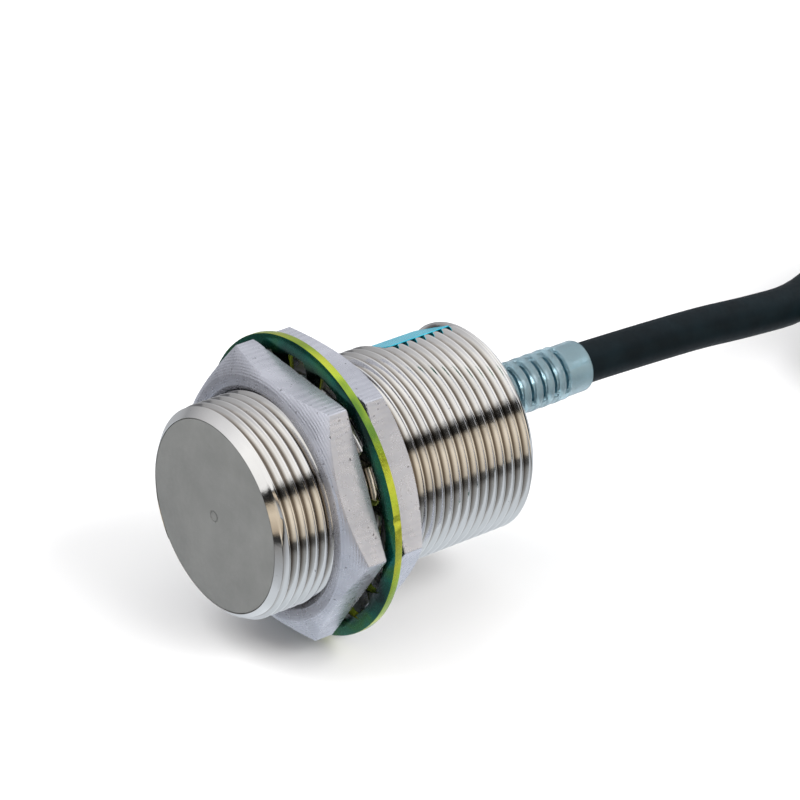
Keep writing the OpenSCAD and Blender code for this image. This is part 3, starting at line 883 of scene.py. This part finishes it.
def leads():
    """Each lead's way from the cut jacket along the hank, and its ferrule's heading from +Y."""
    x, y, z = HANK_X - INNER, END_Y, TOP_Z
    return {
        "brown": ([(x - 1.3, y + 0.2, z + 0.9), (x - 1.4, y + 2.5, z + 0.4),
                   (x - 2, y + 6, LEAD_Z + 0.3), (x - 2.1, y + 9.5, LEAD_Z)], 1),
        "blue": ([(x, y + 0.2, z - 1.4), (x, y + 2.5, z - 1.5),
                  (x, y + 7, z - 1.8), (x + 0.1, y + 11, LEAD_Z)], 1),
        "black": ([(x + 1.3, y + 0.2, z + 0.9), (x + 1.4, y + 2.5, z + 0.4),
                   (x + 2, y + 5.5, LEAD_Z + 0.3), (x + 2.2, y + 8.5, LEAD_Z)], -2),
    }


def make_cable():
    """The whole cable as one strand, with its ties, leads and ferrules."""
    line = curve_through(ROUTE, 4)[:-1] + hank_points()
    cable = strand("cable_line", line, CABLE_R, "cable_black", 32, ["cable", "cable_hank", "cable_tail"])
    pieces = [make_tie("tie_left", -1), make_tie("tie_right", 1)]
    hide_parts("hank_ties")
    ferrules = []
    for name, (points, heading) in leads().items():
        inside = Vector(points[0]) - Vector((0, 1.5, 0))
        way = curve_through([inside] + points, 8)
        pieces.append(strand(f"lead_{name}", way, LEAD_R, f"wire_{name}", 20, [f"{name}_lead"]))
        ferrules.append(make_ferrule(f"ferrule_{name}", points[-1], heading, f"wire_{name}"))
        pieces.append(ferrules[-1])
    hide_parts("lead_ferrules")


# ---------------------------------------------------------------- floor, surroundings and lamps

FLOOR_GAP = 0.00002
FLOOR_HALF = 30
BACKDROP = (0.97, 0.97, 0.97)
AIM = (0, 0.03, 0)
# Strips of light and dark, as (degrees about the barrel's axis from +X to +Z, colour) pairs:
# the ones before the sensing face, then the ones beside and behind it
FRONT_STRIPS = [
    (-180, (0.10, 0.10, 0.11)), (-150, (0.14, 0.14, 0.15)), (-122, (0.42, 0.45, 0.49)),
    (-100, (0.60, 0.65, 0.70)), (-78, (0.60, 0.64, 0.69)), (-56, (0.40, 0.42, 0.45)),
    (-32, (0.26, 0.26, 0.26)), (-25, (0.03, 0.03, 0.03)), (-18, (0.03, 0.03, 0.03)),
    (-12, (0.46, 0.38, 0.29)), (10, (0.70, 0.60, 0.47)), (24, (0.46, 0.39, 0.30)),
    (29, (0.015, 0.015, 0.015)), (42, (0.015, 0.015, 0.015)), (50, (0.95, 0.95, 0.95)),
    (100, (1.0, 1.0, 1.0)), (140, (0.72, 0.72, 0.74)), (180, (0.30, 0.30, 0.31)),
]
BACK_STRIPS = [
    (-180, (0.40, 0.41, 0.43)), (-150, (0.45, 0.47, 0.50)), (-122, (0.60, 0.64, 0.69)),
    (-100, (0.74, 0.79, 0.85)), (-78, (0.70, 0.75, 0.80)), (-56, (0.44, 0.47, 0.50)),
    (-32, (0.30, 0.31, 0.32)), (-25, (0.08, 0.08, 0.08)), (-18, (0.10, 0.10, 0.10)),
    (-14, (0.60, 0.55, 0.47)), (4, (0.82, 0.74, 0.62)), (16, (0.88, 0.80, 0.68)),
    (26, (0.64, 0.58, 0.49)), (31, (0.03, 0.03, 0.03)), (40, (0.03, 0.03, 0.03)),
    (48, (1.0, 1.0, 1.0)), (100, (1.0, 1.0, 1.0)), (135, (0.60, 0.60, 0.62)),
    (180, (0.30, 0.31, 0.33)),
]
# Name, place, size and power
LAMPS = (("key", (-0.5, -0.7, 1.3), 0.9, 10.0), ("fill", (1.1, 0.5, 1.0), 0.9, 22.0))


def make_floor():
    """Wide pale floor just under the part, left out of reflections."""
    z = cad_box[0].z - FLOOR_GAP
    mesh = bpy.data.meshes.new("floor")
    corners = [(x * FLOOR_HALF, y * FLOOR_HALF, z) for x, y in ((-1, -1), (1, -1), (1, 1), (-1, 1))]
    mesh.from_pydata(corners, [], [(0, 1, 2, 3)])
    floor = bpy.data.objects.new("floor", mesh)
    bpy.context.scene.collection.objects.link(floor)
    look = Look("floor", Roughness=0.9, Specular_IOR_Level=0.1)
    pale = look.ramp(look.speckle(600.0), "Fac", [(0.3, (0.88, 0.88, 0.885)), (0.7, (0.9, 0.9, 0.9))])
    look.colour(pale, "Color")
    mesh.materials.append(look.material)
    floor.visible_glossy = False


def make_surroundings():
    """Strips that the metal mirrors; straight to the camera, the surroundings are plain."""
    world = bpy.data.worlds.new("studio")
    bpy.context.scene.world = world
    world.use_nodes = True
    nodes = Nodes(world.node_tree)
    place = nodes.node("ShaderNodeTexCoord")
    parts = nodes.node("ShaderNodeSeparateXYZ")
    nodes.link(place, "Generated", parts, 0)
    turn = nodes.node("ShaderNodeMath", operation="ARCTAN2")
    nodes.link(parts, "Z", turn, 0)
    nodes.link(parts, "X", turn, 1)
    share = nodes.levels(turn, "Value", 0.0, 1.0, -math.pi, math.pi)

    def strips(stops):
        return nodes.ramp(share, "Result", [((angle + 180) / 360, colour) for angle, colour in stops])

    behind = nodes.levels(parts, "Y", 0.0, 1.0, -0.45, 0.1, interpolation_type="SMOOTHSTEP")
    front, back = strips(FRONT_STRIPS), strips(BACK_STRIPS)
    mirrored = nodes.mix((front, "Color"), (back, "Color"), by=(behind, "Result"))
    seen = nodes.node("ShaderNodeLightPath")
    shown = nodes.mix(mirrored, BACKDROP, by=(seen, "Is Camera Ray"))
    light = nodes.node("ShaderNodeBackground")
    nodes.tree.links.new(socket_of(*shown), light.inputs["Color"])
    out = nodes.node("ShaderNodeOutputWorld")
    nodes.link(light, 0, out, 0)


def make_lamps():
    """Two square lamps that light the part without being seen or mirrored."""
    for name, place, size, power in LAMPS:
        lamp = bpy.data.objects.new(name, bpy.data.lights.new(name, "AREA"))
        lamp.data.size = size
        lamp.data.energy = power
        lamp.location = place
        lamp.rotation_mode = "QUATERNION"
        lamp.rotation_quaternion = (Vector(AIM) - Vector(place)).to_track_quat("-Z", "Y")
        lamp.visible_camera = False
        lamp.visible_glossy = False
        bpy.context.scene.collection.objects.link(lamp)


# ---------------------------------------------------------------- the whole scene

bpy.context.scene.view_settings.view_transform = "Standard"

SLOT_OF = {row["node"]: row["material_slot"] for row in frame["record"]["subparts"]}
for node_name, node in frame["nodes"].items():
    node.data.materials.clear()
    node.data.materials.append(LOOKS[SLOT_OF[node_name]])

make_cable()
make_barrel()
make_nut("nut_front", "front_nut", FRONT_NUT_Y, 1)
make_nut("nut_rear", "rear_nut", REAR_NUT_Y, -1)
make_washer()
make_cap()
make_label()
make_relief()
make_floor()
make_surroundings()
make_lamps()
